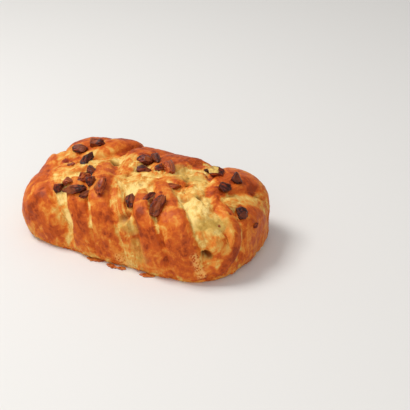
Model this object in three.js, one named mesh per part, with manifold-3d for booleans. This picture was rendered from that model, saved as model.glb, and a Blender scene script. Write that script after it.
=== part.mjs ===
// A small braided loaf of laminated dough, topped with chopped, glazed nuts.
//
// The dough is a flat sheet that is cut into strips along both long sides. The strips are folded
// over the middle in turn, so that their tips all point towards the left end (-X), and the loaf
// bakes as one piece. The nut pieces are stuck on top with glaze, each a piece of its own.
//
// Units are millimetres. +X runs along the loaf, +Y towards its far long side and +Z up. The
// origin is the middle of the underside.

import * as THREE from "three";
import { mergeVertices } from "three/addons/utils/BufferGeometryUtils.js";
import Module from "manifold-3d";

const wasm = await Module();
wasm.setup();

// ---- Driving dimensions ---------------------------------------------------------------------

const LENGTH = 150;
const WIDTH = 90;
const HEIGHT = 44;
const WAIST_HEIGHT = 13; // where the loaf is widest
const PLAN_POWER = 4.0; // how square the loaf is seen from above
const SECTION_POWER = 3.4; // how square it is seen from the end
const UNDER_DEPTH = 1.6 * WAIST_HEIGHT; // the side curves in under the waist as if it went this deep
const TOP_INSET = 4.2; // how far the folded sheet lies below the tops of the strips
const FOOT_INSET = 1.4; // the same at the tray, where the strips are still part of the sheet
const CUT_HEIGHT = 20; // where the strips come free of the sheet
const JOINT_GAP = 0.3; // glaze between a nut piece and the crust

const DOUGH = new THREE.MeshStandardMaterial({ color: 0xc8762f, roughness: 0.45, metalness: 0 });
const NUT = new THREE.MeshStandardMaterial({ color: 0x4f2416, roughness: 0.3, metalness: 0 });

// ---- Solids ---------------------------------------------------------------------------------

const MERGE_DISTANCE = 1e-3; // vertices nearer than this are one

// A closed three.js geometry as a solid, with its shared vertices merged.
function solid(geometry) {
  const bare = geometry.clone();
  bare.deleteAttribute("normal");
  bare.deleteAttribute("uv");
  const merged = mergeVertices(bare, MERGE_DISTANCE);
  return new wasm.Manifold(
    new wasm.Mesh({
      numProp: 3,
      vertProperties: new Float32Array(merged.attributes.position.array),
      triVerts: new Uint32Array(merged.index.array),
    }),
  );
}

// A solid as a three.js geometry.
function geometryOf(shape) {
  const mesh = shape.getMesh();
  const geometry = new THREE.BufferGeometry();
  geometry.setAttribute("position", new THREE.BufferAttribute(new Float32Array(mesh.vertProperties), 3));
  geometry.setIndex(new THREE.BufferAttribute(new Uint32Array(mesh.triVerts), 1));
  geometry.computeVertexNormals();
  return geometry;
}

// The largest closed surface of a shape, which leaves out loose chips and sealed bubbles.
function largest(shape) {
  return shape.decompose().sort((a, b) => b.volume() - a.volume())[0];
}

// Moves every vertex of a geometry to where place(vertex) says.
function reshape(geometry, place) {
  const position = geometry.attributes.position;
  const vertex = new THREE.Vector3();
  for (let i = 0; i < position.count; i++) {
    const moved = place(vertex.fromBufferAttribute(position, i));
    position.setXYZ(i, moved.x, moved.y, moved.z);
  }
  return geometry;
}

// A cosine or sine squared off by a power, so that a circle becomes a rounded rectangle.
const squared = (value, power) => Math.sign(value) * Math.abs(value) ** (2 / power);

// ---- The loaf's outer form ------------------------------------------------------------------

const WAIST_CENTRE = new THREE.Vector3(0, 0, WAIST_HEIGHT);
const PROBE = 0.05; // half the distance over which the form's slope is taken

// How far out a point lies: 1 on the outer form less inset, under 1 inside it.
function reach(point, inset = 0) {
  const up = point.z > WAIST_HEIGHT;
  const rise = (up ? HEIGHT - WAIST_HEIGHT : UNDER_DEPTH) - inset;
  const along = Math.abs(point.x / (LENGTH / 2 - inset)) ** PLAN_POWER;
  const across = Math.abs(point.y / (WIDTH / 2 - inset)) ** PLAN_POWER;
  const plan = (along + across) ** (SECTION_POWER / PLAN_POWER);
  return (plan + Math.abs((point.z - WAIST_HEIGHT) / rise) ** SECTION_POWER) ** (1 / SECTION_POWER);
}

// The point on the outer form in the direction of a point, seen from the middle of the loaf.
function onForm(point, inset = 0) {
  return point.clone().sub(WAIST_CENTRE).divideScalar(reach(point, inset)).add(WAIST_CENTRE);
}

// The direction straight out of the outer form at a point.
function outward(point) {
  const slope = (dx, dy, dz) =>
    reach(new THREE.Vector3(point.x + dx, point.y + dy, point.z + dz)) -
    reach(new THREE.Vector3(point.x - dx, point.y - dy, point.z - dz));
  const along = slope(PROBE, 0, 0);
  const across = slope(0, PROBE, 0);
  const up = slope(0, 0, PROBE);
  return new THREE.Vector3(along, across, up).normalize();
}

// ---- Dough ----------------------------------------------------------------------------------

// The folded sheet under the strips, as a smooth mound.
const MERIDIANS = 40;
const PARALLELS = 22;

function core() {
  const sphere = new THREE.SphereGeometry(1, MERIDIANS, PARALLELS);
  return solid(
    reshape(sphere, (v) => {
      const way = new THREE.Vector3(v.x, -v.z, v.y).add(WAIST_CENTRE);
      const free = THREE.MathUtils.smoothstep(onForm(way).z, 0, CUT_HEIGHT);
      return onForm(way, THREE.MathUtils.lerp(FOOT_INSET, TOP_INSET, free));
    }),
  );
}

const AROUND = 14;
const ALONG = 16;
const END_POWER = 3.6; // how blunt a strip's ends are
const STRIP_POWER = 2.4; // how square its section is
const STEP = 0.01; // share of a strip's length over which its direction is taken
const LAST = 0.999; // the last place along a strip that still has a path point after it

// A strip of risen dough that lies along the outer form. path is its middle line from foot to
// tip, each point as [x, y, z, depth of the strip's top below the outer form].
function strip({ path, width, thick }) {
  const points = path.map(([x, y, z]) => new THREE.Vector3(x, y, z));
  const line = new THREE.CatmullRomCurve3(points, false, "centripetal");
  const depths = path.map((point) => point[3] ?? 0);
  const depthAt = (t) => {
    const place = Math.min(t, LAST) * (depths.length - 1);
    const before = Math.floor(place);
    return THREE.MathUtils.lerp(depths[before], depths[before + 1], place - before);
  };
  const surfaceAt = (t) => onForm(line.getPoint(THREE.MathUtils.clamp(t, 0, 1)));
  const sphere = new THREE.SphereGeometry(1, AROUND, ALONG);
  return solid(
    reshape(sphere, (v) => {
      const t = (1 - v.y) / 2;
      const here = surfaceAt(t);
      const ahead = surfaceAt(t + STEP).sub(surfaceAt(t - STEP));
      const side = new THREE.Vector3().crossVectors(outward(here), ahead).normalize();
      const ring = Math.hypot(v.x, v.z) || 1;
      const full = Math.max(1 - Math.abs(v.y) ** END_POWER, 0) ** (1 / END_POWER);
      const across = (squared(v.x / ring, STRIP_POWER) * full * width) / 2;
      const over = (squared(v.z / ring, STRIP_POWER) * full * thick) / 2;
      const beside = onForm(here.addScaledVector(side, across));
      return beside.addScaledVector(outward(beside), over - thick / 2 - depthAt(t));
    }),
  );
}

// The strips of the near side, from the left end to the right, then those of the far side. Each
// foot starts below the underside, where the sheet was laid flat on the baking tray.
const STRIPS = {
  near_end: {
    width: 34,
    thick: 11,
    path: [
      [-42, -38, -4, 1],
      [-47, -41, 8],
      [-56, -37, 22, 1],
      [-65, -24, 31, 3],
      [-68, -8, 33, 3],
      [-62, 8, 36, 5],
    ],
  },
  near_first: {
    width: 19,
    thick: 10,
    path: [
      [-9, -39, -4],
      [-13, -44, 8],
      [-18, -44, 23],
      [-25, -38, 34],
      [-33, -26, 40, 1],
      [-42, -12, 42, 4],
    ],
  },
  near_second: {
    width: 19,
    thick: 10,
    path: [
      [8, -39, -4],
      [4, -44, 8],
      [-1, -43, 25],
      [-8, -35, 36],
      [-14, -23, 42],
      [-22, -7, 44, 1],
    ],
  },
  near_third: {
    width: 19,
    thick: 10,
    path: [
      [36, -38, -4],
      [32, -43, 8],
      [26, -42, 25],
      [17, -33, 37],
      [10, -21, 42, 1],
      [3, -10, 43, 4],
    ],
  },
  near_fourth: {
    width: 20.5,
    thick: 10.5,
    path: [
      [58, -34, -4],
      [52, -40, 8],
      [45, -39, 27],
      [37, -32, 36],
      [28, -20, 42],
      [20, -7, 43, 2],
    ],
  },
  right_wrap: {
    width: 18,
    thick: 10,
    path: [
      [54, -35, -4],
      [67, -31, 7],
      [73, -19, 18],
      [72, -13, 29],
      [64, -10, 36, 1],
      [52, -9, 40, 4],
    ],
  },
  right_end: {
    width: 20,
    thick: 10,
    path: [
      [68, 9, -4],
      [75, 7, 8],
      [75, 5, 21],
      [70, 5, 33],
      [62, 6, 39, 1],
      [52, 5, 41, 4],
    ],
  },
  far_last: {
    width: 26,
    thick: 11,
    path: [
      [58, 32, -4],
      [61, 36, 8],
      [59, 34, 25, -1],
      [54, 27, 36, -2],
      [49, 14, 41, -1],
      [42, -4, 42, 3],
    ],
  },
  far_fourth: {
    width: 26,
    thick: 11,
    path: [
      [34, 39, -4],
      [31, 44, 8],
      [25, 42, 26, 0],
      [17, 34, 37],
      [9, 19, 43],
      [0, 0, 44, 3],
    ],
  },
  far_third: {
    width: 26,
    thick: 11,
    path: [
      [14, 39, -4],
      [11, 44, 8],
      [5, 43, 26, -1],
      [-4, 34, 37, -2],
      [-14, 19, 43, -1],
      [-25, 1, 44, 4],
    ],
  },
  far_second: {
    width: 20,
    thick: 10.5,
    path: [
      [-17, 39, -4],
      [-20, 44, 8],
      [-26, 42, 26],
      [-33, 33, 37, -1],
      [-41, 18, 42],
      [-50, 1, 42, 3],
    ],
  },
  far_first: {
    width: 21,
    thick: 10.5,
    path: [
      [-33, 38, -4],
      [-37, 43, 8],
      [-42, 40, 25, -1],
      [-49, 31, 36, -2],
      [-55, 16, 39, -1],
      [-60, 0, 38, 3],
    ],
  },
  far_end: {
    width: 28,
    thick: 11,
    path: [
      [-50, 36, -4],
      [-58, 37, 8],
      [-66, 29, 20],
      [-70, 14, 28],
      [-70, 0, 32, 4],
    ],
  },
};

// Dough that swelled up between two strips.
const SWELLS = {
  right_pillow: {
    width: 17,
    thick: 9,
    path: [
      [60, -38, 2, 3],
      [67, -33, 16, 3],
      [64, -29, 29, 4],
    ],
  },
  right_crumb: {
    width: 19,
    thick: 10,
    path: [
      [62, -27, 33, 4],
      [50, -17, 40, 3],
      [41, -7, 42, 3],
    ],
  },
  middle_crumb: {
    width: 17,
    thick: 9,
    path: [
      [16, -8, 43, 4],
      [6, -4, 44, 3],
      [-4, 0, 44, 4],
    ],
  },
  left_crumb: {
    width: 18,
    thick: 9,
    path: [
      [-26, -2, 43, 4],
      [-40, -1, 42, 3],
      [-54, -2, 40, 3],
    ],
  },
  near_gap: {
    width: 14,
    thick: 8,
    path: [
      [20, -42, 2, 1],
      [15, -44, 17, 3],
      [7, -36, 35, 4],
    ],
  },
};

function loaf() {
  const pieces = [...Object.values(STRIPS), ...Object.values(SWELLS)].map(strip);
  const risen = pieces.reduce((whole, piece) => whole.add(piece), core());
  const oven = new THREE.BoxGeometry(2 * LENGTH, 2 * WIDTH, HEIGHT);
  oven.translate(0, 0, -HEIGHT / 2);
  return largest(risen.subtract(solid(oven)));
}

// ---- Nut pieces -----------------------------------------------------------------------------

// A repeatable number from -1 to 1 for each whole-number seed.
const SCATTER_STEP = 127.1;
const SCATTER_GAIN = 43758.5453;
const chance = (seed) => 2 * ((Math.abs(Math.sin(seed * SCATTER_STEP)) * SCATTER_GAIN) % 1) - 1;

const NUT_CORNERS = 60; // more than the corners of one piece, so that no two pieces share a seed
const NUT_ROUGHNESS = 0.16; // how uneven a chopped piece is, as a share of its radius
const NUT_BLOCKINESS = 0.9; // from 0, a ball, to 1, a block with rounded corners

// One chopped piece, lying along X, with its middle at the origin. bend curls it like a half nut.
function chip({ length, width, height, bend = 0 }, seed) {
  const ball = new THREE.IcosahedronGeometry(1, 1);
  const seen = new Map();
  return reshape(ball, (v) => {
    const key = v.toArray().map((n) => n.toFixed(3)).join();
    if (!seen.has(key)) seen.set(key, 1 + NUT_ROUGHNESS * chance(seed * NUT_CORNERS + seen.size));
    const blocky = (v.x ** 4 + v.y ** 4 + v.z ** 4) ** (-1 / 4);
    const size = seen.get(key) * THREE.MathUtils.lerp(1, blocky, NUT_BLOCKINESS);
    const x = (v.x * size * length) / 2;
    const arch = bend * ((2 * x) / length) ** 2;
    return new THREE.Vector3(x, (v.y * size * width) / 2 + arch * width, (v.z * size * height) / 2);
  });
}

// Each piece as [x, y, heading in degrees, length, width, height, bend].
const NUTS = [
  [-50, 7, 10, 8.5, 7, 5.5],
  [-44, 14.5, 38, 10.5, 6.5, 6],
  [-37.5, -4.5, 104, 13, 5.5, 5, 0.25],
  [-28.5, -24, 75, 10, 5.5, 5],
  [-25.5, -17.5, -30, 7.5, 6, 5],
  [-18, -28.5, -47, 7.5, 6, 5],
  [-10, -31, -68, 11, 7.5, 5.5],
  [-33.5, -31, 10, 6, 5.5, 5],
  [-37.5, -35, -20, 6.5, 5.5, 4.5],
  [-25, -36.5, 28, 14, 5.5, 5.5, -0.15],
  [-16.5, -36.5, 45, 9.5, 5, 5],
  [10, -31, -72, 10, 5.5, 5],
  [-5.5, 10.5, 20, 9, 8.5, 6],
  [1, -0.5, 24, 8.5, 7, 5],
  [0.5, 13.5, -40, 12, 5.5, 5],
  [8.5, 5, 40, 6, 5.5, 5],
  [12.5, 8.5, -50, 13, 6, 5.5],
  [26, -9, 35, 9.5, 4, 3.5],
  [21.5, -27, 80, 11, 5.5, 5, 0.4],
  [29.5, -32, 93, 14, 6.5, 5.5, -0.12],
  [31, 23, 30, 4, 3.4, 3],
  [41, 14.5, 5, 9.5, 8, 6],
  [54, 14, -15, 8, 7.5, 5.5],
  [53, 2, 30, 7, 7, 5.5],
  [69, -5.5, 38, 8, 7.5, 5.5],
  [74, -1, 60, 3.4, 3, 2.6],
  [-44.5, -13.5, 0, 2.8, 2.4, 2.2],
  [-41.5, -13.5, 40, 3, 2.6, 2.2],
];

const CAST_FROM = 40; // height above the outer form from which a piece is lowered on to the crust
const LONGEST_NUT = 14;
const SUNK = 0.25; // share of its height that a piece is pressed in
const FOOTPRINT = 0.3; // where a piece touches the crust, as a share of its length and width

// Where the outer form's top lies at a place seen from above.
function topOfForm(x, y) {
  const point = new THREE.Vector3(x, y, WAIST_HEIGHT);
  for (let step = HEIGHT; step > PROBE; step *= 0.5) {
    point.z += step;
    if (reach(point) > 1) point.z -= step;
  }
  return point;
}

// Where the crust lies under a place seen from above, as { point, up }.
function crustUnder(x, y, crustMesh) {
  const surface = topOfForm(x, y);
  const out = outward(surface);
  const start = surface.addScaledVector(out, CAST_FROM);
  const hit = new THREE.Raycaster(start, out.clone().negate()).intersectObject(crustMesh)[0];
  return { point: hit.point, up: hit.face.normal };
}

// Cuts a piece back so that it stays clear of a neighbour by the joint gap, along one direction.
function clearOf(piece, neighbour, direction) {
  const gap = direction.clone().setLength(JOINT_GAP);
  return piece.subtract(neighbour).subtract(neighbour.translate(gap.x, gap.y, gap.z));
}

// The crust may rise beside a piece as well as lie under it.
const WAYS_OUT = [
  new THREE.Vector3(0, 0, 1),
  new THREE.Vector3(1, 0, 0),
  new THREE.Vector3(-1, 0, 0),
  new THREE.Vector3(0, 1, 0),
  new THREE.Vector3(0, -1, 0),
];

const UPRIGHT = new THREE.Vector3(0, 0, 1);

// The turn about Z that a piece is laid down with.
function turned(heading) {
  return new THREE.Quaternion().setFromAxisAngle(UPRIGHT, THREE.MathUtils.degToRad(heading));
}

// A nut piece set down on the crust and shaped by what it touches. laid holds the pieces that
// are there already, as { shape, middle }.
function nut([x, y, heading, length, width, height, bend], index, crust, crustMesh, laid) {
  const ahead = new THREE.Vector3(FOOTPRINT * length, 0, 0).applyQuaternion(turned(heading));
  const aside = new THREE.Vector3(0, FOOTPRINT * width, 0).applyQuaternion(turned(heading));
  const touches = [ahead, aside, ahead.clone().negate(), aside.clone().negate()].map((way) =>
    crustUnder(x + way.x, y + way.y, crustMesh),
  );
  const up = new THREE.Vector3();
  const rest = new THREE.Vector3();
  for (const touch of touches) {
    up.add(touch.up);
    rest.addScaledVector(touch.point, 1 / touches.length);
  }
  up.normalize();
  const placed = new THREE.Object3D();
  placed.position.copy(rest).addScaledVector(up, height * (0.5 - SUNK));
  placed.quaternion.setFromUnitVectors(UPRIGHT, up).multiply(turned(heading));
  placed.updateMatrixWorld(true);
  const chopped = chip({ length, width, height, bend }, index + 1);
  let shape = solid(chopped.applyMatrix4(placed.matrixWorld));
  for (const way of WAYS_OUT) shape = clearOf(shape, crust, way);
  for (const other of laid) {
    const apart = placed.position.clone().sub(other.middle);
    if (apart.length() < length + LONGEST_NUT) shape = clearOf(shape, other.shape, apart);
  }
  shape = largest(shape);
  laid.push({ shape, middle: placed.position.clone() });
  return shape;
}

// ---- The whole ------------------------------------------------------------------------------

const braidedLoaf = new THREE.Group();

function add(name, shape, material) {
  const mesh = new THREE.Mesh(geometryOf(shape), material);
  mesh.name = name;
  braidedLoaf.add(mesh);
  return mesh;
}

const crust = loaf();
const crustMesh = add("loaf", crust, DOUGH);
crustMesh.updateMatrixWorld(true);
const laid = [];
NUTS.forEach((row, i) => {
  add(`nut_piece_${String(i + 1).padStart(2, "0")}`, nut(row, i, crust, crustMesh, laid), NUT);
});

export default braidedLoaf;
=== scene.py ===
import math
import random

import bpy
import numpy as np
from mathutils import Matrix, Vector, noise
from mathutils.bvhtree import BVHTree


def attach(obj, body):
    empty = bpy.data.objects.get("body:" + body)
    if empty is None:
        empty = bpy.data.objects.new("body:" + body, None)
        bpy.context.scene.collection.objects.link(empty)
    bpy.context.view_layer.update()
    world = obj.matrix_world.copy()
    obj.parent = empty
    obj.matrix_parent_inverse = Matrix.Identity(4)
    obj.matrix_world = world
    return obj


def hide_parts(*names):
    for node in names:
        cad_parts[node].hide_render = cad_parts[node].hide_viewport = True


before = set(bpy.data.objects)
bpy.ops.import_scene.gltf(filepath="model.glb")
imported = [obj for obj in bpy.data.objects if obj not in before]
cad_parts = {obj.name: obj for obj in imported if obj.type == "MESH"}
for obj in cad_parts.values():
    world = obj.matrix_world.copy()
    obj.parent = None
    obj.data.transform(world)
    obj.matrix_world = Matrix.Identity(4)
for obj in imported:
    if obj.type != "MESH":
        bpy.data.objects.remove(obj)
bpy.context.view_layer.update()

# ---- The dough's risen form -----------------------------------------------------------------
# A plait of laminated dough, risen and baked flat on a tray. Its outline is a rounded box: this
# section makes that lump, a little below the tops of the strips that are folded over it.

MM = 0.001              # sizes below are in millimetres, and a mesh's in metres
HALF_LENGTH = 75.0
HALF_WIDTH = 45.0
HEIGHT = 44.0
WAIST = 13.0            # height where the loaf is widest
UNDER_DEPTH = 20.8      # how deep the form would go under the waist, if the tray let it
PLAN_POWER = 4.0
SECTION_POWER = 3.4
START_RADIUS = 40.0     # the ball that is pushed out to the form
DOUGH_CELL = 0.75       # the spacing of its even mesh
SLOPE_STEP = 0.05


def reach(p):
    """How far out each point lies: 1 on the form, under 1 inside it. Points in millimetres."""
    rise = np.where(p[:, 2] > WAIST, HEIGHT - WAIST, UNDER_DEPTH)
    plan = np.abs(p[:, 0] / HALF_LENGTH) ** PLAN_POWER + np.abs(p[:, 1] / HALF_WIDTH) ** PLAN_POWER
    up = np.abs((p[:, 2] - WAIST) / rise) ** SECTION_POWER
    return (plan ** (SECTION_POWER / PLAN_POWER) + up) ** (1 / SECTION_POWER)


def on_form(p):
    """The points of the form straight out from the middle of the loaf through p."""
    middle = np.array([0.0, 0.0, WAIST])
    return (p - middle) / reach(p)[:, None] + middle


def outward(p):
    """The form's outward direction at each point."""
    slope = np.stack([reach(p + step) - reach(p - step) for step in np.eye(3) * SLOPE_STEP], 1)
    return slope / np.linalg.norm(slope, axis=1)[:, None]


def corners(mesh):
    """A mesh's vertices in millimetres."""
    co = np.empty(len(mesh.vertices) * 3)
    mesh.vertices.foreach_get("co", co)
    return co.reshape(-1, 3) / MM


def set_corners(mesh, co):
    """Moves a mesh's vertices to places in millimetres."""
    mesh.vertices.foreach_set("co", (co * MM).ravel())
    mesh.update()


def apply_modifier(piece, kind, **settings):
    """Adds a modifier to a piece and makes its result the piece's mesh."""
    modifier = piece.modifiers.new(kind.title(), kind)
    for key, value in settings.items():
        setattr(modifier, key, value)
    bpy.context.view_layer.objects.active = piece
    bpy.ops.object.modifier_apply(modifier=modifier.name)


bpy.ops.object.select_all(action="DESELECT")
bpy.ops.mesh.primitive_uv_sphere_add(segments=128, ring_count=64, radius=1)
loaf = bpy.context.object
loaf.name = "baked_loaf"
ball = np.array([v.co for v in loaf.data.vertices])
set_corners(loaf.data, on_form(ball * START_RADIUS + np.array([0, 0, WAIST])))
apply_modifier(loaf, "REMESH", mode="VOXEL", voxel_size=DOUGH_CELL * MM)

# ---- The folded strips ----------------------------------------------------------------------
# Both long sides of the dough were cut into strips, and these were folded over the middle in
# turn. Each strip has a rise, how high it stands over its own edges, and a middle line from foot
# to tip: x, y, z, width and lift above the form.

STRIPS = {
    "near_end": (4.5, [(-43, -42, -4, 33, 0), (-46, -43, 9, 35, 0.8), (-53, -39, 20, 36, 0.6),
                       (-59, -31, 28, 34, -2.5), (-65, -18, 33, 28, -3.3), (-67, -6, 34, 24, -0.4),
                       (-68, 3, 34, 19, 2.1), (-69, 9, 33, 13, 0.2)]),
    "near_first": (4.0, [(-12, -43, -4, 22, 0), (-13, -44, 7, 20, 0), (-14.5, -44, 15, 17.5, 0),
                         (-17, -44, 24, 14, 0), (-22, -40, 34, 14, 0), (-26, -34, 39, 13, -1),
                         (-31, -26, 41, 10, -2.5)]),
    "near_second": (4.2, [(2, -43, -4, 26, 0), (0.5, -44, 9, 25, 0), (-0.5, -44, 16, 21, 0),
                          (-2, -43, 25, 17, 0.3), (-6, -39, 34, 15, 0.5), (-11, -31, 40, 14, 0.5),
                          (-18, -16, 43, 13.5, 0), (-24, -6, 43, 12, -1.5)]),
    "near_side": (2.6, [(19, -43, -2, 13, -1.0), (17, -43, 10, 11, -1.0),
                        (12.5, -42, 20, 9.5, -1.4), (7.5, -38, 31, 9, -1.4), (0, -29, 39, 9, -1.6),
                        (-8, -20, 42, 8, -2), (-16, -9, 43, 7, -2.4)]),
    "near_third": (4.2, [(35, -43, -4, 22, 0), (33.5, -43, 9, 20, 0), (30.5, -43, 21, 18, 0.3),
                         (26.5, -41, 30, 14.5, 0.5), (20, -36, 38, 12, 0.5),
                         (16, -29, 42, 10, -0.5), (12, -22, 43, 7, -2)]),
    "near_fourth": (4.4, [(53, -39, -4, 24, 0), (50.5, -41, 9, 23, 0), (47.5, -41, 19, 22, 0.3),
                          (45, -40, 26, 20, 0.5), (41, -37, 34, 19, 0.5), (35, -31, 39, 17.5, 0.3),
                          (27, -22, 42, 14, 0), (19, -11, 43, 10, -1.5)]),
    "right_pillow": (3.0, [(60, -37, 4, 8, -3.5), (63, -33, 14, 11, -2.0), (65, -29, 22, 13, -1.2),
                           (60, -28, 30, 12, -2.6)]),
    "right_wrap": (4.4, [(50, -38, -4, 14, -0.5), (60, -37, 4, 13, 0), (67, -33, 9, 13, 0),
                         (72, -27, 15, 13, 0), (74, -21, 21, 12, 0), (72, -17.5, 28, 11.5, 0),
                         (67, -15, 33, 10.5, -0.3), (60, -11, 38, 9, -1.2), (54, -7, 41, 7, -2.5)]),
    "right_end": (4.0, [(72, 3, -4, 42, 0), (74, 3, 8, 40, 0), (74, 3, 19, 36, 0),
                        (72, 5, 28, 30, -0.3), (66, 7, 36, 20, -1.4), (58, 6, 40, 12, -3)]),
    "far_last": (5.2, [(52, 36, -4, 36, 0), (52, 38, 8, 37, 0.3), (50, 35, 25, 37, 0.6),
                       (49.5, 27, 36, 35, 1.0), (51, 16, 41, 27, 1.3), (52, 5, 43, 17, 0.6),
                       (53, -4, 42, 12, -0.5), (54, -11, 40, 7, -2)]),
    "far_fourth": (5.0, [(26, 43, -4, 21, 0), (24.5, 44, 8, 20, 0), (19, 42, 26, 21, -0.4),
                         (10, 34, 38, 25, -0.7), (8, 20, 43, 24, -0.6), (9, 8, 44, 21, -1.2),
                         (12, -3, 44, 15, -2.0), (15, -9, 44, 9, -3)]),
    "far_third": (5.0, [(5, 43, -4, 22, 0), (3, 44, 8, 21, 0), (-2, 42, 26, 22, -0.2),
                        (-7.5, 34, 38, 24, -0.6), (-13, 20, 43, 22, -0.4), (-12, 8, 44, 16, -1.0),
                        (-9, -4, 44, 13, -1.3), (-6, -16, 43, 9, -2.4)]),
    "far_second": (4.6, [(-19, 43, -4, 21, 0), (-21.5, 44, 8, 20, 0), (-26, 42, 26, 20, 0.4),
                         (-33, 33, 38, 22, 1.3), (-37, 18, 42, 20, 0.3), (-42, 6, 43, 16, -1),
                         (-46, -5, 42, 12, -2.5)]),
    "far_first": (4.6, [(-40, 42, -4, 20, 0), (-43, 43, 8, 20, 0.3), (-47.5, 40, 24, 22, 0.6),
                        (-51.5, 31, 35, 30, 1.2), (-56.5, 19, 39, 27, 1.2), (-58, 7, 40, 20, 0.2),
                        (-57, -4, 40, 13, -1.4)]),
    "far_end": (4.5, [(-54, 38, -4, 24, 0), (-60, 37, 8, 25, 0), (-67, 28, 20, 25, -0.5),
                      (-70, 15, 28, 24, -1), (-70, 3, 31, 20, -1.6)]),
    "right_fold": (3.0, [(53, -12, 40, 8, -3.4), (57, -6, 39, 12, -2.4), (62, 0, 37.5, 13, -1.9),
                         (67, 8, 34, 12, -1.6), (70, 17, 28, 11, -1.6), (72, 22, 20, 9, -2.4)]),
    "left_crumb": (2.6, [(-50, -15, 40, 13, -2.4), (-41, -14, 42, 15, -2), (-33, -6, 43, 15, -2.2),
                         (-26, 3, 44, 11, -2.6)]),
    "middle_crumb": (3.0, [(-8, -16, 43, 15, -2.6), (2, -10, 44, 17, -2), (14, -5, 44, 17, -2),
                           (26, 0, 44, 14, -1.6), (34, 2, 44, 10, -2.4)]),
    "right_crumb": (3.4, [(31, 11, 43, 11, -2), (35, 5, 43, 15, -1.5), (42, -6, 43, 16, -2),
                          (46, -15, 41, 17, -2.4), (48, -23, 38, 14, -3.4)]),
}

SHEET_INSET = 4.6       # how far the sheet lies below the strips on top
FOOT_INSET = 0.8        # the same at the tray, where the strips are still part of the sheet
CUT_HEIGHT = 17.0       # the cuts between the strips end here, and below it the side is whole
SHOULDER = 3.2          # how square a strip's section is
CRUST_CELL = 0.625      # the spacing of the crust's even mesh
BURIED = -99            # the level of a strip away from its own ground


def smooth_line(rows, count=90):
    """A Catmull-Rom line through rows of numbers, as count rows."""
    rows = np.array(rows, float)
    rows = np.vstack([2 * rows[0] - rows[1], rows, 2 * rows[-1] - rows[-2]])
    t = np.linspace(0, len(rows) - 3 - 1e-6, count)
    i = t.astype(int)
    f = (t - i)[:, None]
    a, b, c, d = rows[i], rows[i + 1], rows[i + 2], rows[i + 3]
    return 0.5 * (2 * b + (c - a) * f + (2 * a - 5 * b + 4 * c - d) * f**2
                  + (3 * b - a - 3 * c + d) * f**3)


def beside(points, rows):
    """For each point: along (0 foot to 1 tip), across in mm (+ to the right seen from the foot),
    distance in mm from the line, and the line's width and lift there."""
    line = smooth_line(rows)
    middle = on_form(line[:, :3])
    out = outward(middle)
    ahead = np.gradient(middle, axis=0)
    length = np.linalg.norm(ahead, axis=1)
    ahead = ahead / length[:, None]
    right = np.cross(ahead, out)
    gap = (points**2).sum(1)[:, None] - 2 * points @ middle.T + (middle**2).sum(1)[None]
    near = gap.argmin(1)
    away = points - middle[near]
    past = (away * ahead[near]).sum(1)
    across = (away * right[near]).sum(1)
    inside = (near > 0) & (near < len(middle) - 1)
    beyond = np.where(inside, 0, np.abs(past))
    place = np.clip(near + past / length[near], 0, len(middle) - 1)
    width = np.interp(place, np.arange(len(middle)), line[:, 3])
    lift = np.interp(place, np.arange(len(middle)), line[:, 4])
    return place / (len(middle) - 1), across, np.hypot(across, beyond), width, lift


def lay(points):
    """Where the crust lies over each point of the form, in mm above it, which strip is on top
    (-1 for the sheet), and for that strip: along, across and how near its edge."""
    foot = np.clip(points[:, 2] / CUT_HEIGHT, 0, 1)
    foot = foot * foot * (3 - 2 * foot)
    level = -(FOOT_INSET + (SHEET_INSET - FOOT_INSET) * foot)
    level = np.where(points[:, 2] < 0, -FOOT_INSET, level)
    top = np.full(len(points), -1)
    along = np.zeros(len(points))
    across = points[:, 0].copy()
    edge = np.ones(len(points))
    for k, (rise, rows) in enumerate(STRIPS.values()):
        u, v, away, width, lift = beside(points, rows)
        e = away / (width / 2)
        h = lift - rise + rise * np.sqrt(1 - np.clip(e, 0, 1) ** SHOULDER)
        h = np.where(e < 1, h, BURIED)
        h = np.where(points[:, 2] < CUT_HEIGHT, np.minimum(h, lift), h)
        over = h > level
        top = np.where(over, k, top)
        along = np.where(over, u, along)
        across = np.where(over, v, across)
        edge = np.where(over, e, edge)
        level = np.where(over, h, level)
    return level, top, along, across, edge


base = on_form(corners(loaf.data))
level, top, along, across, edge = lay(base)
set_corners(loaf.data, base + outward(base) * level[:, None])

apply_modifier(loaf, "REMESH", mode="VOXEL", voxel_size=CRUST_CELL * MM)
apply_modifier(loaf, "SMOOTH", factor=0.5, iterations=3)

# The tray: everything below it is cut off, and the dough there is flat.
bpy.ops.object.mode_set(mode="EDIT")
bpy.ops.mesh.select_all(action="SELECT")
bpy.ops.mesh.bisect(plane_co=(0, 0, 0), plane_no=(0, 0, 1), clear_inner=True, use_fill=True)
bpy.ops.object.mode_set(mode="OBJECT")

# ---- The crust --------------------------------------------------------------------------------
# What the oven did to the dough: the skin blistered and wrinkled along the strips, the cut edges
# opened into flakes, and the glaze baked brown on all that stood proud.

noise.seed_set(3)       # without this, noise_vector would differ from run to run


def wander(points, size, seed, octaves=3):
    """Smooth noise from about -1 to 1 with features of the given size in mm."""
    shift = np.array([seed * 17.3, seed * -9.1, seed * 4.7])
    scaled = (points / size + shift).tolist()
    return np.array([noise.fractal(p, 1.0, 2.0, octaves) for p in scaled])


def shingles(points, seed):
    """Torn flakes that lie over each other: a height from about -1 to 1 with steps between the
    flakes, and how near each point is to such a step (1 on it)."""
    height = np.zeros(len(points))
    step = np.zeros(len(points))
    for k, p in enumerate((points + seed * 7.7).tolist()):
        away, middles = noise.voronoi(p)
        tilt = noise.noise_vector(middles[0] * 5.3)
        height[k] = noise.noise(middles[0] * 3.1) + 1.3 * tilt.dot(Vector(p) - middles[0])
        step[k] = away[1] - away[0]
    return height, np.clip(1 - step / 0.16, 0, 1)


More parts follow.
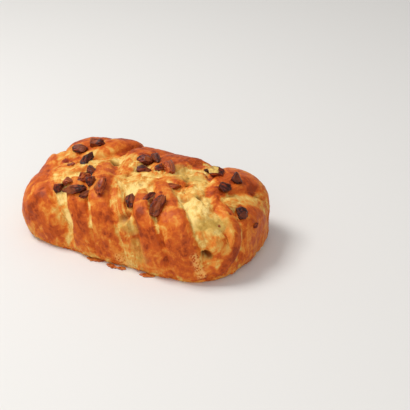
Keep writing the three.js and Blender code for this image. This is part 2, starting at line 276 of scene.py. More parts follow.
def dab(line, radius, ragged, seed):
    """1 along a line of places on the form, falling to 0 at the radius, with a ragged border."""
    line = np.array(line, float)
    if len(line) > 1:
        steps = np.linspace(0, len(line) - 1, 8 * len(line))
        line = np.stack([np.interp(steps, np.arange(len(line)), line[:, k]) for k in range(3)], 1)
    gap = np.full(len(form), 1e9)
    for spot in on_form(line):
        gap = np.minimum(gap, ((form - spot) ** 2).sum(1))
    near = gap < (2 * radius) ** 2
    fall = np.zeros(len(form))
    wobble = wander(form[near], radius * 0.7, seed + 5, 2)
    d = np.sqrt(gap[near]) / (radius * (1 + ragged * wobble))
    d = np.clip(1 - d, 0, 1)
    fall[near] = d * d * (3 - 2 * d)
    return fall


def patch(gain, line, radius, ragged, seed):
    """A dab with a full middle: the gain says how much of it is full."""
    return np.minimum(gain * dab(line, radius, ragged, seed), 1)


def growing(x, start, width):
    """0 up to the start, then rising to 1 over the width."""
    return np.clip((x - start) / width, 0, 1)


def fading(x, start, width):
    """0 down to the start, then rising to 1 over the width below it."""
    return np.clip((start - x) / width, 0, 1)


names = list(STRIPS)
skin = corners(loaf.data)
form = on_form(skin)
out = outward(form)
top, along, across, edge = lay(form)[1:]
depth = ((skin - form) * out).sum(1)
height = skin[:, 2].copy()
off_tray = growing(height, 0.3, 2.0)


def on_strips(*wanted):
    """Which points lie on the named strips."""
    return np.isin(top, [names.index(name) for name in wanted])


# The grain runs along each strip, so it needs their lengths. The sheet's own runs aslant.
GRAIN_LENGTH = 11.0
GRAIN_WIDTH = 2.1
GRAIN_APART = 3.7       # keeps one strip's grain from matching the next one's
SHEET_LENGTH = 150.0
lengths = np.array([np.linalg.norm(np.diff(on_form(smooth_line(rows)[:, :3]), axis=0), axis=1).sum()
                    for rise, rows in STRIPS.values()] + [SHEET_LENGTH])
along_mm = np.where(top < 0, skin[:, 0] * -0.35 + height, along * lengths[top])
across_mm = np.where(top < 0, skin[:, 0] + 0.5 * skin[:, 1], across)
grain = np.stack([along_mm / GRAIN_LENGTH, across_mm / GRAIN_WIDTH, top * GRAIN_APART], 1)

# The glaze was brushed on the strips' tops. The torn dough between them has none, and the cut
# edges and the far strips' inner ends show their layers.
UNGLAZED = ("near_side", "right_pillow", "right_crumb", "right_fold")
glazed = np.array([name.startswith(("near_", "right_", "far_")) and name not in UNGLAZED
                   for name in names] + [False])
on_glazed = glazed[top]
open_dough = 1 - on_glazed * fading(edge, 1.05, 0.2)
on_far = np.char.startswith(np.array(names + ["sheet"]), "far_")[top]
inner = fading(form[:, 1], 17, 12)
layered = np.maximum(on_far * inner, on_strips("near_side", "right_fold"))
layered = np.maximum(layered, on_glazed * growing(edge, 0.78, 0.15))
crumbs = open_dough * (1 - layered)

# Each kind of relief: how large it is over the crust, and how far it stands, in mm. The streaks,
# the layers and the torn flakes are sized by the grain instead.
SWELL_SIZE, SWELL = 24, 0.9
BLISTER_SIZE, BLISTER = 7.5, 0.42
STREAK = 0.20
LAYER_SHAPE, LAYER = np.array([0.9, 1.5, 1]), 0.55
RAGGED_SIZE, RAGGED_EDGE = 2.6, 0.45
WARP_SIZE, WARP = 6, 0.5
TORN_SHAPE, TORN_FLAKE = np.array([1.5, 0.42, 1]), 1.3
FINE_SIZE, FINE_FLAKE = 3.6, 0.42
TORN_STEP = 0.10
TORN_RISE = 0.2
FOOT_SIZE, FOOT_OUT = 5.5, 0.45     # how far the foot may bulge, for it mostly draws in
RIM_OUT = 0.25

streaks = wander(grain, 1.0, 1, 3)
blisters = wander(skin, BLISTER_SIZE, 2, 3)
swell = wander(skin, SWELL_SIZE, 3, 2)
layers = wander(grain * LAYER_SHAPE, 1.0, 4, 3)
ragged = wander(skin, RAGGED_SIZE, 6, 2)
warp = np.stack([wander(skin, WARP_SIZE, k, 2) for k in (11, 12, 13)], 1)
torn, torn_steps = shingles(grain * TORN_SHAPE + WARP * warp, 3)
fine_flakes, fine_steps = shingles(skin / FINE_SIZE + WARP * warp, 8)

# The custard in the right recess set smooth, and the pillow below it is smooth skin.
RECESS = [(54, -29, 32), (58, -26, 33), (62, -22, 32)]
PILLOW = [(61, -34, 18), (65, -31, 22)]
crumbs *= np.where(top < 0, 0.45, 1) * (1 - 0.8 * dab(RECESS, 12, 0.2, 90))
crumbs *= 1 - 0.75 * dab(PILLOW, 12, 0.2, 91)

raised = SWELL * swell + BLISTER * blisters + STREAK * streaks
raised += off_tray * crumbs * (TORN_FLAKE * torn + FINE_FLAKE * fine_flakes - TORN_STEP * torn_steps
                               + TORN_RISE)
raised += off_tray * layered * LAYER * (0.35 - 2.0 * np.abs(layers))
raised += np.clip(1 - np.abs(edge - 0.92) / 0.2, 0, 1) * RAGGED_EDGE * ragged    # cut edges

# The foot drew in unevenly where it stood on the tray.
raised += (np.clip(1.2 - height / 4, 0, 1)
           * np.minimum(1.4 * ragged + 1.3 * wander(skin, FOOT_SIZE, 21, 2), FOOT_OUT))

# The rim on the tray crumbled into small flakes.
rim = np.clip(1.3 - height / 5, 0, 1)
raised += rim * np.minimum(1.5 * fine_flakes, RIM_OUT)

# Pits where a bubble broke or two folds do not meet: place, radius and depth in mm.
PITS = [(62, -34, 18, 2.6, 4.2), (60, -35, 18.5, 2.0, 3.0), (30.5, -2.5, 40, 1.6, 4.2),
        (27, 0, 40, 2.4, 1.8), (43, -12, 39, 2.2, 2.2), (38, -17, 39, 3.0, 1.8),
        (-22, 2, 41, 2.4, 3.0), (-20, 4, 41, 1.8, 2.2), (10, -38, 30, 3.0, 2.4),
        (12, -37, 32, 2.2, 1.8), (-4, -10, 42, 2.2, 1.5), (8, -16, 42, 1.8, 1.2)]
DEEPEST_SHADE = 4.0     # a pit this deep, in mm, is as dark as they come
# Painted shade: each pit's hollow is coloured darker the deeper the pit is, as shade would fall in
# it.
shade = np.zeros(len(skin))
for x, y, z, radius, deep in PITS:
    hollow = dab([(x, y, z)], radius * 1.5, 0.3, x)
    raised -= deep * hollow
    shade = np.maximum(shade, np.clip(1.6 * hollow - 0.3, 0, 1) * deep / DEEPEST_SHADE)

# Creases where two strips meet, or where one has split: depth, radius and line.
GROOVES = [(2.2, 3.2, [(-73, 23, 22), (-71, 17, 28), (-70, 12, 32), (-66, 7, 36)]),
           (1.4, 3.4, [(-66, 7, 36), (-61, 0, 38), (-55, -9, 38), (-51, -18, 37)]),
           (1.3, 3.0, [(-21, 38, 34), (-20, 33, 39), (-20, 27, 42)]),
           (1.8, 3.5, [(62, -37, 0), (65, -35, 5)]),
           (1.0, 1.6, [(-8.5, -44, 20), (-8, -44, 13), (-7, -44, 6)]),
           (1.3, 1.5, [(24, -32, 39), (28, -36, 36), (31, -39, 32), (34, -41, 27), (37, -42, 21)]),
           (1.0, 1.6, [(36, -41, 26), (39, -42, 18), (41, -43, 10)])]
for deep, radius, line in GROOVES:
    raised -= deep * dab(line, radius * 1.4, 0.25, radius)

skin = skin + out * (raised * off_tray)[:, None]
skin[:, 2] = np.maximum(skin[:, 2], 0)
set_corners(loaf.data, skin)

# How brown each place is: 0 raw cream, 1 nearly burnt.
GLAZED_BAKE = 0.605
OPEN_BAKE = 0.24
SHEET_BAKE = 0.22
SIDE_BAKE = 0.36
PILLOW_BAKE = 0.30
FAR_BAKE = 0.78
foot = fading(skin[:, 2], 16, 10)
bake = np.where(on_glazed, GLAZED_BAKE, OPEN_BAKE)
bake = np.where(top < 0, SHEET_BAKE + 0.26 * foot, bake)      # the sheet browned at its foot
bake = np.where(on_strips("near_side"), SIDE_BAKE, bake)
bake = np.where(on_strips("right_pillow"), PILLOW_BAKE, bake)
bake = np.where(on_far & ~on_strips("far_last"), FAR_BAKE - 0.44 * inner, bake)
bake -= on_glazed * 0.26 * growing(edge, 0.84, 0.16)          # the strips' edges are paler
bake -= 0.08 * growing(-depth, 1.5, 3.0)                      # and so is what lies deep
bake += crumbs * (0.20 * torn + 0.10 * fine_flakes + 0.12 * torn_steps + 0.05 * fine_steps)
bake += layered * (0.14 - 0.55 * np.abs(layers))              # a pale line between layers
bake -= on_glazed * 0.16 * fading(skin[:, 2], 6, 6)           # the tray kept the foot pale
bake += rim * (0.40 * fine_flakes - 0.08)

# Dabs of more or less bake: how brown, how strong, radius, and the line they lie along.
DABS = [
    (0.90, 0.7, 5, [(-62, -20, 35), (-57, -28, 34), (-52, -32, 32), (-48, -37, 30)]),
    (0.84, 0.6, 5, [(-53, -40, 22), (-49, -39, 28)]),
    (0.86, 0.6, 5, [(-64, -28, 30), (-66, -14, 34)]),
    (0.52, 0.6, 2.4, [(-52, -26, 36), (-51, -33, 31), (-48, -37, 26)]),
    (0.80, 0.6, 5, [(-42, -43, 7), (-37, -42, 12)]),
    (0.80, 0.5, 4, [(-55, -40, 13)]),
    (0.66, 0.6, 4, [(-50, -43, 16), (-46, -42, 20)]),
    (0.64, 0.6, 4, [(-57, -36, 24), (-54, -35, 28)]),
    (0.82, 0.7, 9, [(-60, -34, 22), (-52, -40, 18)]),
    (0.44, 0.7, 5, [(-62, -34, 14), (-58, -38, 6), (-48, -42, 3)]),
    (0.60, 0.7, 6, [(-66, -4, 36), (-68, 4, 35)]),
    (0.84, 0.7, 5, [(-19, -43, 31), (-17, -44, 26)]),
    (0.82, 0.6, 5, [(-21, -44, 16), (-15, -45, 21), (-17, -45, 11)]),
    (0.80, 0.7, 5, [(-1, -42, 32), (1, -44, 28), (3, -44, 22)]),
    (0.78, 0.6, 5, [(-5, -43, 12), (4, -45, 9)]),
    (0.52, 0.6, 4, [(-9, -43, 14), (-7, -43, 8)]),
    (0.50, 0.6, 4, [(-6, -40, 33), (-13, -30, 41)]),
    (0.82, 0.7, 6, [(45, -42, 26), (53, -41, 23)]),
    (0.86, 0.8, 6, [(32, -43, 27), (25, -44, 23)]),
    (0.84, 0.8, 5, [(19, -38, 37), (23, -42, 31), (27, -43, 25)]),
    (0.80, 0.6, 5, [(39, -43, 11)]),
    (0.78, 0.7, 3, [(33, -21, 43), (41, -28, 40), (49, -35, 36), (54, -38, 30), (58, -39, 20)]),
    (0.46, 0.7, 4, [(36, -36, 36), (40, -40, 30), (44, -42, 34)]),
    (0.90, 0.8, 8, [(48, 12, 42), (56, 8, 41), (60, 18, 38)]),
    (0.90, 0.8, 5, [(53, -10, 40), (53, -4, 41)]),
    (0.70, 0.7, 5, [(73, -12, 24), (74, -8, 18), (72, -12, 10)]),
    (0.84, 0.85, 6.5, [(72, -20, 25), (73, -24, 18), (68, -32, 10)]),
    (0.78, 0.7, 5, [(72, -26, 15), (69, -31, 9), (63, -36, 5)]),
    (0.68, 0.6, 7, [(71, 6, 31), (74, 6, 25), (74, 1, 18), (72, -3, 10)]),
    (0.86, 0.8, 6, [(-68, 20, 30), (-61, 20, 36), (-53, 22, 41), (-45, 28, 41), (-33, 30, 42),
                    (-19, 26, 43)]),
    (0.40, 0.7, 2.6, [(-62, 10, 37), (-52, 13, 40), (-41, 19, 42), (-31, 23, 41)]),
    (0.34, 0.8, 3.0, [(-69, 16, 30), (-65, 9, 35), (-60, 1, 38), (-55, -8, 38), (-50, -18, 37)]),
    (0.76, 0.8, 3.4, [(-50, -8, 37), (-46, -3, 39), (-44, 7, 39), (-36, 14, 41), (-28, 21, 39),
                      (-20, 24, 40)]),
    (0.50, 0.8, 6, [(-50, -14, 37), (-44, -11, 39), (-37, -2, 40)]),
    (0.24, 0.7, 4, [(-33, 2, 40), (-30, 7, 39), (-22, 12, 41)]),
    (0.90, 0.7, 7, [(-14, 22, 44), (-2, 29, 43), (11, 32, 42), (22, 30, 40)]),
    (0.72, 0.7, 4, [(-9, 14, 42), (5, 20, 43), (15, 23, 43), (24, 25, 40)]),
    (0.70, 0.8, 4, [(14, -10, 40), (16, -5, 40), (21, -2, 40), (26, -4, 39)]),
    (0.62, 0.7, 3, [(36, -6, 43), (33, -9, 43)]),
    (0.58, 0.7, 2.5, [(44, 1, 43)]),
    (0.06, 0.8, 6, [(41, -22, 40), (46, -19, 38), (47, -12, 39), (47, -25, 36)]),
    (0.10, 0.8, 5, [(31, 7, 42), (38, 5, 42), (41, -2, 42)]),
    (0.20, 0.8, 5, [(55, -32, 29), (60, -29, 29), (63, -24, 30)]),
    (0.52, 0.9, 6, [(64, -30, 24), (67, -28, 22), (63, -32, 20)]),
    (0.18, 0.8, 4, [(57, -5, 38), (61, 0, 37), (66, 6, 35), (69, 13, 31), (71, 19, 24)]),
    (0.40, 0.8, 1.6, [(67, -33, 13), (69, -29, 18), (70, -23, 24), (68, -20, 29), (63, -17, 34),
                      (56, -12, 36)]),
    (0.22, 0.8, 3, [(64, -34, 15), (66, -33, 14)]),
    (0.10, 0.8, 3, [(-27, -43, 8), (-27, -43, 16), (-31, -42, 26), (-37, -37, 33)]),
    (0.74, 0.7, 5, [(-21, -9, 43), (-17, -17, 43), (-12, -27, 41)]),
    (0.56, 0.7, 5, [(69, 20, 30), (72, 20, 18), (70, 27, 14)]),
    (0.34, 0.8, 1.8, [(69, -9, 33), (72, -12, 29), (74, -15, 23), (75, -18, 17)]),
    (0.62, 0.7, 3, [(74, -2, 12), (74, -2, 22), (71, -4, 30)]),
    (0.60, 0.7, 2.4, [(9, -40, 30), (12, -39, 31)]),
    (0.60, 0.7, 3, [(17, -42, 18), (22, -43, 12)]),
    (0.30, 0.8, 1.8, [(-30, 44, 3), (-32, 44, 12), (-35, 42, 22)]),
    (0.30, 0.8, 1.8, [(15, 44, 3), (13, 44, 12), (10, 42, 22)]),
    (0.46, 0.7, 6, [(-52, 42, 12), (-14, 44, 10), (-8, 44, 24)]),
    (0.48, 0.7, 6, [(28, 44, 12), (2, 44, 20), (50, 40, 22)]),
    (0.44, 0.6, 7, [(-64, 30, 8), (-71, 14, 6), (-70, -8, 8)]),
    (0.24, 0.9, 1.7, [(-15, -38, 36), (-11, -41, 32), (-9.5, -43, 26), (-9, -44, 22)]),
    (0.20, 0.9, 1.5, [(23, -31, 40), (27, -35, 37), (30.5, -38, 33), (33, -40, 29)]),
]
for k, (value, strength, radius, line) in enumerate(DABS):
    bake = bake + (value - bake) * (strength * patch(2.0, line, radius * 1.35, 0.42, k))

# Custard from the filling soaked through where the folds stand open: line, radius and strength.
SOAKED = [([(23, 1, 40), (30, 4, 39)], 5, 0.8), ([(11, -39, 28), (18, -42, 26)], 5, 0.6),
          ([(-22, 2, 40)], 3.5, 0.7), ([(16, 12, 41), (24, 14, 40)], 6, 0.5),
          ([(20, -42, 18), (24, -43, 10)], 5, 0.5), ([(-5, -14, 42)], 4, 0.3),
          ([(42, -13, 40)], 3, 0.6)]
damp = 0.9 * patch(1.4, RECESS, 6.5, 0.35, 90)
for line, radius, strength in SOAKED:
    damp = np.maximum(damp, strength * patch(1.5, line, radius * 1.2, 0.3, radius))

# Two corners by the tray where the crust broke and shows the pores of the dough.
BROKEN = [[(9, -44, 7), (12, -42, 4), (17, -41, 2)], [(57, -40, 18), (58, -39, 13), (60, -38, 6)]]
pores = np.zeros(len(skin))
for line in BROKEN:
    pores = np.maximum(pores, patch(1.7, line, 4, 0.3, 70))

# Drops of sugar glaze burnt to small reddish spots: place and radius.
DROPS = [((-7, -36, 39), 1.3), ((-50, -6, 37), 1.4), ((-46, -7, 38), 1.2), ((44, 1, 39), 1.3),
         ((64, -13, 35), 0.9), ((-22, -44, 26), 0.8), ((62, -22, 31), 0.8), ((24, -21, 42), 1.0)]
spots = np.zeros(len(skin))
for drop, radius in DROPS:
    spots = np.maximum(spots, patch(1.8, [drop], radius * 1.6, 0.3, radius))


def store(mesh, name, values):
    """Keeps a number or a vector for each vertex of a mesh, for its finish to read."""
    kind, field = ("FLOAT", "value") if values.ndim == 1 else ("FLOAT_VECTOR", "vector")
    layer = mesh.attributes.new(name, kind, "POINT")
    layer.data.foreach_set(field, np.ascontiguousarray(values, np.float32).ravel())


for name, values in (("bake", np.clip(bake, 0, 1)), ("damp", damp), ("pores", pores),
                     ("shade", np.clip(shade, 0, 1)), ("open", open_dough), ("spots", spots),
                     ("grain", grain)):
    store(loaf.data, name, values)


def linear(code):
    """A colour for a node, from its six-digit code."""
    parts = [int(code[i:i + 2], 16) / 255 for i in (0, 2, 4)]
    return tuple(p / 12.92 if p < 0.04045 else ((p + 0.055) / 1.055) ** 2.4 for p in parts) + (1,)


# The crust's finish: cream dough that browns through gold and orange to a dark glazed red-brown.
# Tree and shader are always those of the finish that is being made.
crust = bpy.data.materials.new("glazed_crust")
crust.use_nodes = True
tree = crust.node_tree
shader = tree.nodes["Principled BSDF"]


def node(kind, **settings):
    made = tree.nodes.new(kind)
    for key, value in settings.items():
        setattr(made, key, value)
    return made


def wire(a, b):
    tree.links.new(a, b)


def attribute(name):
    return node("ShaderNodeAttribute", attribute_name=name)


def sums(operation, a, b, clamp=False):
    """One Math node; a and b are sockets or numbers."""
    made = node("ShaderNodeMath", operation=operation, use_clamp=clamp)
    for k, value in enumerate((a, b)):
        if isinstance(value, (int, float)):
            made.inputs[k].default_value = value
        else:
            wire(value, made.inputs[k])
    return made.outputs[0]


def vary(value, pattern, middle, share):
    """The value, moved up and down by a pattern around its middle."""
    return sums("ADD", value, sums("MULTIPLY", sums("SUBTRACT", pattern, middle), share))


def cloud(vector, scale, detail=3.0, rough=0.55, warp=0.0):
    made = node("ShaderNodeTexNoise")
    made.inputs["Scale"].default_value = scale
    made.inputs["Detail"].default_value = detail
    made.inputs["Roughness"].default_value = rough
    made.inputs["Distortion"].default_value = warp
    wire(vector, made.inputs["Vector"])
    return made.outputs["Fac"]


def ramp(value, stops):
    made = node("ShaderNodeValToRGB")
    while len(made.color_ramp.elements) < len(stops):
        made.color_ramp.elements.new(0.5)
    for element, (at, colour) in zip(made.color_ramp.elements, stops):
        element.position = at
        element.color = colour
    wire(value, made.inputs[0])
    return made.outputs["Color"]


def grey(x):
    return (x, x, x, 1)


def blend(share, a, b, kind="MIX"):
    made = node("ShaderNodeMix", data_type="RGBA", blend_type=kind)
    wire(share, made.inputs["Factor"])
    for value, socket in ((a, made.inputs[6]), (b, made.inputs[7])):
        if isinstance(value, tuple):
            socket.default_value = value
        else:
            wire(value, socket)
    return made.outputs[2]


place = node("ShaderNodeTexCoord").outputs["Object"]
lengthwise = attribute("grain").outputs["Vector"]
blotches = ramp(cloud(place, 95, 4, 0.55, 1.0), [(0.40, grey(0)), (0.60, grey(1))])
patches = cloud(place, 330, 3, 0.55)
strokes = cloud(lengthwise, 1.0, 4, 0.6, 0.4)
specks = cloud(place, 1200, 2, 0.6)
browned = attribute("bake").outputs["Fac"]
opened = attribute("open").outputs["Fac"]
islands = ramp(cloud(place, 210, 2, 0.5, 0.8), [(0.54, grey(0)), (0.60, grey(1))])
flecks = ramp(cloud(lengthwise, 1.7, 3, 0.6, 0.5), [(0.56, grey(0)), (0.66, grey(1))])
browned = sums("ADD", browned, sums("MULTIPLY", islands, 0.11))
browned = sums("SUBTRACT", browned, sums("MULTIPLY", flecks, 0.12))
browned = sums("ADD", browned, sums("MULTIPLY", sums("SUBTRACT", strokes, 0.5),
                                    sums("MULTIPLY", opened, 0.35)))
browned = vary(browned, blotches, 0.45, 0.32)
browned = vary(browned, strokes, 0.5, 0.18)
browned = vary(browned, patches, 0.5, 0.42)
browned = vary(browned, specks, 0.5, 0.12)
colour = ramp(browned, [
    (0.00, linear("F3D084")), (0.16, linear("E2BA68")), (0.32, linear("D99F4C")),
    (0.46, linear("D88434")), (0.60, linear("CE6A21")), (0.74, linear("BE541A")),
    (0.88, linear("AE4A17")), (1.00, linear("903710"))])
colour = blend(attribute("damp").outputs["Fac"], colour, ramp(patches, [
    (0.3, linear("A57F33")), (0.5, linear("C09848")), (0.75, linear("DDBC6A"))]))
cells = node("ShaderNodeTexVoronoi")
cells.inputs["Scale"].default_value = 820
wire(place, cells.inputs["Vector"])
# The middles of the pores: below they are darkened with painted shade, and the bump sinks them.
holes = ramp(cells.outputs["Distance"], [(0.12, grey(1)), (0.26, grey(0))])
holes = sums("MULTIPLY", holes, attribute("pores").outputs["Fac"], True)
walls = ramp(cells.outputs["Distance"], [(0.38, grey(0)), (0.62, grey(1))])
walls = sums("MULTIPLY", walls, sums("MULTIPLY", attribute("pores").outputs["Fac"], 0.75), True)
colour = blend(walls, colour, linear("E6AC60"))
# Painted shade: the pores' middles are coloured dark, as shade would fall inside them.
colour = blend(holes, colour, linear("8E4214"))
# Painted shade: the pits' hollows are darkened with this colour.
colour = blend(attribute("shade").outputs["Fac"], colour, linear("7A3E12"))
colour = blend(attribute("spots").outputs["Fac"], colour, linear("862C12"))
wire(colour, shader.inputs["Base Color"])
wire(ramp(browned, [(0.1, grey(0.66)), (0.45, grey(0.55)), (0.8, grey(0.44))]),
     shader.inputs["Roughness"])
fine_relief = sums("ADD", sums("MULTIPLY", strokes, 0.6), sums("MULTIPLY", patches, 0.5))
fine_relief = sums("ADD", fine_relief, sums("MULTIPLY", specks, 0.25))
fine_relief = sums("SUBTRACT", fine_relief, sums("MULTIPLY", holes, 0.8))


def roughen(relief, strength, distance):
    """Gives the shader a bump from a relief, with its depth in mm."""
    bump = node("ShaderNodeBump")
    bump.inputs["Strength"].default_value = strength
    bump.inputs["Distance"].default_value = distance * MM
    wire(relief, bump.inputs["Height"])
    wire(bump.outputs["Normal"], shader.inputs["Normal"])


roughen(fine_relief, 0.55, 0.8)
shader.inputs["Specular IOR Level"].default_value = 0.12
shader.inputs["Subsurface Weight"].default_value = 0.08
shader.inputs["Subsurface Radius"].default_value = (2.5 * MM, 1.4 * MM, 0.7 * MM)
shader.inputs["Subsurface Scale"].default_value = 1.0
loaf.data.materials.append(crust)

bpy.ops.object.select_all(action="DESELECT")
loaf.select_set(True)
bpy.context.view_layer.objects.active = loaf
bpy.ops.object.shade_smooth()
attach(loaf, "root")
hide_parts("loaf")

# ---- The nut pieces -----------------------------------------------------------------------------
# Chopped pecans, stuck on with a sugar glaze that caramelised in the oven. Each piece is a chunk
# of a half kernel, with the kernel's long wrinkles, a few broken faces and a dark, shiny skin.

# How light each piece came out, from nearly black to reddish tan, and how pale its broken faces
# are.
NUT_TONES = [
    (0.30, 0.3), (0.25, 0.4), (0.18, 0.3), (0.70, 0.6), (0.25, 0.2), (0.30, 0.3), (0.62, 0.6),
    (0.62, 0.5), (0.20, 0.2), (0.25, 0.5), (0.35, 0.4), (0.25, 0.4), (0.36, 0.5), (0.30, 0.3),
    (0.22, 0.2), (0.30, 0.3), (0.80, 0.5), (0.50, 0.5), (0.30, 0.7), (0.38, 0.4), (0.15, 0.1),
    (0.35, 1.0), (0.08, 0.1), (0.15, 0.2), (0.08, 0.1), (0.35, 0.2), (0.45, 0.3), (0.45, 0.3)]
# Pieces that differ from the plain ones: length, width and height factors.
PROUD = {2: (0.95, 1.0, 1.0), 3: (1.05, 1.1, 1.25), 7: (1.05, 1.12, 1.1), 13: (0.95, 0.95, 0.95),
         14: (1.0, 1.1, 1.45), 17: (1.12, 1.15, 1.1), 22: (0.9, 0.95, 0.9), 23: (0.9, 0.9, 0.95),
         24: (0.9, 0.9, 1.0), 25: (0.92, 0.92, 1.0)}
NUT_FIT = np.array([0.98, 0.93, 1.05])     # a plain piece's length, width and height factors
# A piece whose pale cut face looks up: the way that face looks, and how far out it lies.
BARE = {22: (-0.25, -0.30, 0.92)}
BARE_CUT = 0.60
CUTS = 6
CUT_RANGE = (0.56, 0.84)    # how far out the knife's other faces lie, from the middle to the skin
KNIFE = 0.92                # how flat the knife left them
BROKEN_FACES = 2            # so many of them show flesh
SQUARENESS = 3.0
LUMPS = 0.20
WRINKLED = 0.13
GROOVE = 0.30               # the groove of a half kernel, and its width
GROOVE_WIDTH = 0.20
GROOVED = 1.45              # pieces longer than this many widths keep it
NUT_SUNK = 0.24             # share of a piece's height that the glaze and crust hold
DROP_HEIGHT = 12            # mm above the crust that a piece is let down from

nut_skin = bpy.data.materials.new("caramelised_nut")
nut_skin.use_nodes = True
tree = nut_skin.node_tree
shader = tree.nodes["Principled BSDF"]
place = node("ShaderNodeTexCoord").outputs["Object"]
mottle = cloud(place, 420, 4, 0.6, 0.5)
fine = cloud(place, 1500, 3, 0.6)
tone = attribute("tone").outputs["Fac"]
tone = vary(tone, mottle, 0.5, 0.9)
tone = vary(tone, fine, 0.5, 0.25)
skin_colour = ramp(tone, [
    (0.0, linear("260C06")), (0.25, linear("4E1808")), (0.5, linear("7C290B")),
    (0.75, linear("A04213")), (1.0, linear("BE6022"))])
flesh = sums("MULTIPLY", attribute("broken").outputs["Fac"],
             ramp(mottle, [(0.35, grey(0.3)), (0.6, grey(1))]), True)
flesh_colour = ramp(attribute("paleness").outputs["Fac"], [
    (0.0, linear("5C220E")), (0.5, linear("94481C")), (0.8, linear("B5793A")),
    (1.0, linear("DDB860"))])
wire(blend(flesh, skin_colour, flesh_colour), shader.inputs["Base Color"])
wire(ramp(mottle, [(0.3, grey(0.26)), (0.7, grey(0.5))]), shader.inputs["Roughness"])
shader.inputs["Specular IOR Level"].default_value = 0.26
roughen(sums("ADD", mottle, sums("MULTIPLY", fine, 0.5)), 0.7, 0.35)

crust_tree = BVHTree.FromPolygons([v.co.copy() for v in loaf.data.vertices],
                                  [tuple(p.vertices) for p in loaf.data.polygons])
for number, (lightness, paleness) in enumerate(NUT_TONES, 1):
    name = f"nut_piece_{number:02d}"
    solid = corners(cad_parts[name].data)
    middle = solid.mean(0)
    up = outward(on_form(middle[None]))[0]
    side = np.cross(up, (0, 1, 0))
    side /= np.linalg.norm(side)

    # The piece lies along the heading that makes it narrowest across.
    narrowest = math.inf
    for heading in np.radians(np.arange(0, 180, 4)):
        ahead = math.cos(heading) * side + math.sin(heading) * np.cross(up, side)
        aside = np.cross(up, ahead)
        if np.ptp(solid @ aside) < narrowest:
            narrowest = np.ptp(solid @ aside)
            axes = np.stack([ahead, aside, up])
    low, high = (solid @ axes.T).min(0), (solid @ axes.T).max(0)
    middle = (low + high) / 2 @ axes
    half = (high - low) / 2 * NUT_FIT * PROUD.get(number, (1, 1, 1))
    start = Vector((middle + up * DROP_HEIGHT) * MM)
    hit = crust_tree.ray_cast(start, Vector(-up))[0]
    if hit is not None:
        middle = np.array(hit) / MM + up * half[2] * (1 - 2 * NUT_SUNK)

    bpy.ops.object.select_all(action="DESELECT")
    bpy.ops.mesh.primitive_ico_sphere_add(subdivisions=5, radius=1)
    piece = bpy.context.object
    piece.name = f"pecan_{number:02d}"
    dice = random.Random(number)
    ball = np.array([v.co for v in piece.data.vertices])
    shape = ball / (np.abs(ball) ** SQUARENESS).sum(1)[:, None] ** (1 / SQUARENESS)
    shape *= (1 + LUMPS * wander(ball, 0.8, number, 2))[:, None]
    broken = np.zeros(len(ball))
    for cut in range(CUTS):
        way = np.array([dice.uniform(-1, 1), dice.uniform(-1, 1), dice.uniform(-0.5, 0.9)])
        bare = number in BARE and cut == 0
        if bare:
            way = axes @ np.array(BARE[number])
        way /= np.linalg.norm(way)
        over = shape @ way - (BARE_CUT if bare else dice.uniform(*CUT_RANGE))
        shape = shape - np.clip(over, 0, None)[:, None] * way * KNIFE
        shows = cut < (1 if number in BARE else BROKEN_FACES)
        broken = np.maximum(broken, np.clip(over * 8, 0, 1) * shows)
    if half[0] > GROOVED * half[1]:
        valley = np.exp(-(shape[:, 1] / GROOVE_WIDTH) ** 2) * np.clip(shape[:, 2] * 2, 0, 1)
        shape[:, 2] -= GROOVE * valley
    wrinkles = wander(shape * np.array([0.5, 1.9, 1.9]), 0.55, number + 40, 3)
    away = shape / np.linalg.norm(shape, axis=1)[:, None]
    shape = shape + away * (WRINKLED * wrinkles * (1 - 0.6 * broken))[:, None]
    set_corners(piece.data, (shape * half) @ axes + middle)
    for key, values in (("tone", np.full(len(ball), lightness) + 0.5 * wrinkles * (1 - broken)),
                        ("broken", broken), ("paleness", np.full(len(ball), paleness))):
        store(piece.data, key, np.clip(values, 0, 1))
    bpy.ops.object.shade_smooth()
    piece.data.materials.append(nut_skin)
    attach(piece, "root")
    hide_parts(name)

# ---- The caramel flakes --------------------------------------------------------------------------
# Butter and sugar ran out under the loaf, boiled thin on the tray and set as brittle, ragged
# flakes that still hold to its near edge.

# Each flake as x, y, heading in degrees, length and width in mm.
FLAKES = [(-8.5, -43.6, 6, 8.5, 4.2), (-4.5, -43.4, 20, 4.5, 2.6), (5, -45, -8, 7, 3.4),
          (11, -44.6, 12, 5.5, 3), (27.5, -43.9, 14, 7, 4.2), (30.5, -43.2, 40, 4.5, 3)]
FLAKE_THICK = 0.6
FLAKE_FOOT = 0.05       # how far over the tray a flake's underside starts
FLAKE_CELL = 0.22       # the spacing of their even mesh

bpy.ops.object.select_all(action="DESELECT")
discs = []
for number, (x, y, heading, length, width) in enumerate(FLAKES):
    bpy.ops.mesh.primitive_cylinder_add(vertices=48, radius=1, depth=1, end_fill_type="NGON")
    disc = bpy.context.object
    circle = corners(disc.data) * MM
    outline = 1 + 0.42 * wander(circle * np.array([1, 1, 0]), 0.55, number + 60, 3)
    turn = math.radians(heading)
    ahead, aside = circle[:, 0] * outline * length / 2, circle[:, 1] * outline * width / 2
    lifted = np.where(circle[:, 2] > 0, FLAKE_THICK * (1 + 0.3 * outline), FLAKE_FOOT)
    set_corners(disc.data, np.stack([x + ahead * math.cos(turn) - aside * math.sin(turn),
                                     y + ahead * math.sin(turn) + aside * math.cos(turn),
                                     lifted], 1))
    discs.append(disc)
for disc in discs:
    disc.select_set(True)
bpy.ops.object.join()
flakes = bpy.context.object
flakes.name = "caramel_flakes"
apply_modifier(flakes, "REMESH", mode="VOXEL", voxel_size=FLAKE_CELL * MM)
apply_modifier(flakes, "SMOOTH", factor=0.5, iterations=3)
sheet = corners(flakes.data)
sheet[:, 2] += np.clip(sheet[:, 2] / FLAKE_THICK, 0, 1) * 0.25 * wander(sheet, 1.2, 80, 2)
sheet[:, 2] = np.maximum(sheet[:, 2], 0)
set_corners(flakes.data, sheet)

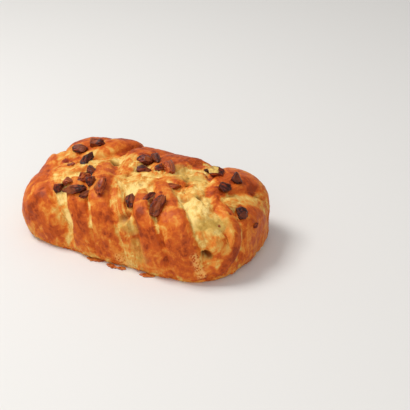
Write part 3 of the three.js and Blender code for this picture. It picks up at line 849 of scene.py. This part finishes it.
caramel = bpy.data.materials.new("baked_caramel")
caramel.use_nodes = True
tree = caramel.node_tree
shader = tree.nodes["Principled BSDF"]
mottle = cloud(node("ShaderNodeTexCoord").outputs["Object"], 500, 4, 0.6, 0.6)
wire(ramp(mottle, [(0.30, linear("7C300C")), (0.5, linear("AE5216")), (0.7, linear("D08030"))]),
     shader.inputs["Base Color"])
wire(ramp(mottle, [(0.3, grey(0.28)), (0.7, grey(0.5))]), shader.inputs["Roughness"])
roughen(mottle, 0.5, 0.3)
flakes.data.materials.append(caramel)
bpy.ops.object.shade_smooth()
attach(flakes, "root")

# ---- Camera, floor and lights -------------------------------------------------------------------
# The loaf lies on a pale floor, seen from its near right corner and lit by soft daylight.
AZIMUTH = math.radians(29)
ELEVATION = math.radians(28)
DISTANCE = 0.6785
AIM = Vector((0.0152, 0.0472, 0))
LENS = 93.07
SENSOR = 36
LOOK_AT = Vector((0, 0, 0.02))

bpy.ops.mesh.primitive_plane_add(size=4)
floor = bpy.context.object
floor.name = "floor"
back = Vector((math.sin(AZIMUTH) * math.cos(ELEVATION), -math.cos(AZIMUTH) * math.cos(ELEVATION),
               math.sin(ELEVATION)))
camera = bpy.data.objects.new("camera", bpy.data.cameras.new("camera"))
camera.data.lens = LENS
camera.data.sensor_width = SENSOR
camera.location = AIM + back * DISTANCE
camera.rotation_mode = "QUATERNION"
camera.rotation_quaternion = (-back).to_track_quat("-Z", "Y")
bpy.context.scene.collection.objects.link(camera)
bpy.context.scene.camera = camera


def area(name, place, size, energy):
    """A soft square lamp that looks at the loaf."""
    light = bpy.data.lights.new(name, "AREA")
    light.size = size
    light.energy = energy
    lamp = bpy.data.objects.new(name, light)
    lamp.location = place
    lamp.rotation_mode = "QUATERNION"
    lamp.rotation_quaternion = (LOOK_AT - Vector(place)).to_track_quat("-Z", "Y")
    bpy.context.scene.collection.objects.link(lamp)


area("key", (-0.45, -0.15, 0.85), 0.4, 7)
area("fill", (0.4, -0.85, 0.42), 0.8, 3.0)
world = bpy.data.worlds.new("studio")
world.use_nodes = True
daylight = world.node_tree.nodes["Background"]
daylight.inputs["Color"].default_value = (1, 1, 1, 1)
daylight.inputs["Strength"].default_value = 0.5
bpy.context.scene.world = world
bpy.context.scene.view_settings.view_transform = "Standard"

floor_finish = bpy.data.materials.new("pale_floor")
floor_finish.use_nodes = True
shader = floor_finish.node_tree.nodes["Principled BSDF"]
shader.inputs["Base Color"].default_value = (0.73, 0.71, 0.68, 1)
shader.inputs["Roughness"].default_value = 0.8
floor.data.materials.append(floor_finish)
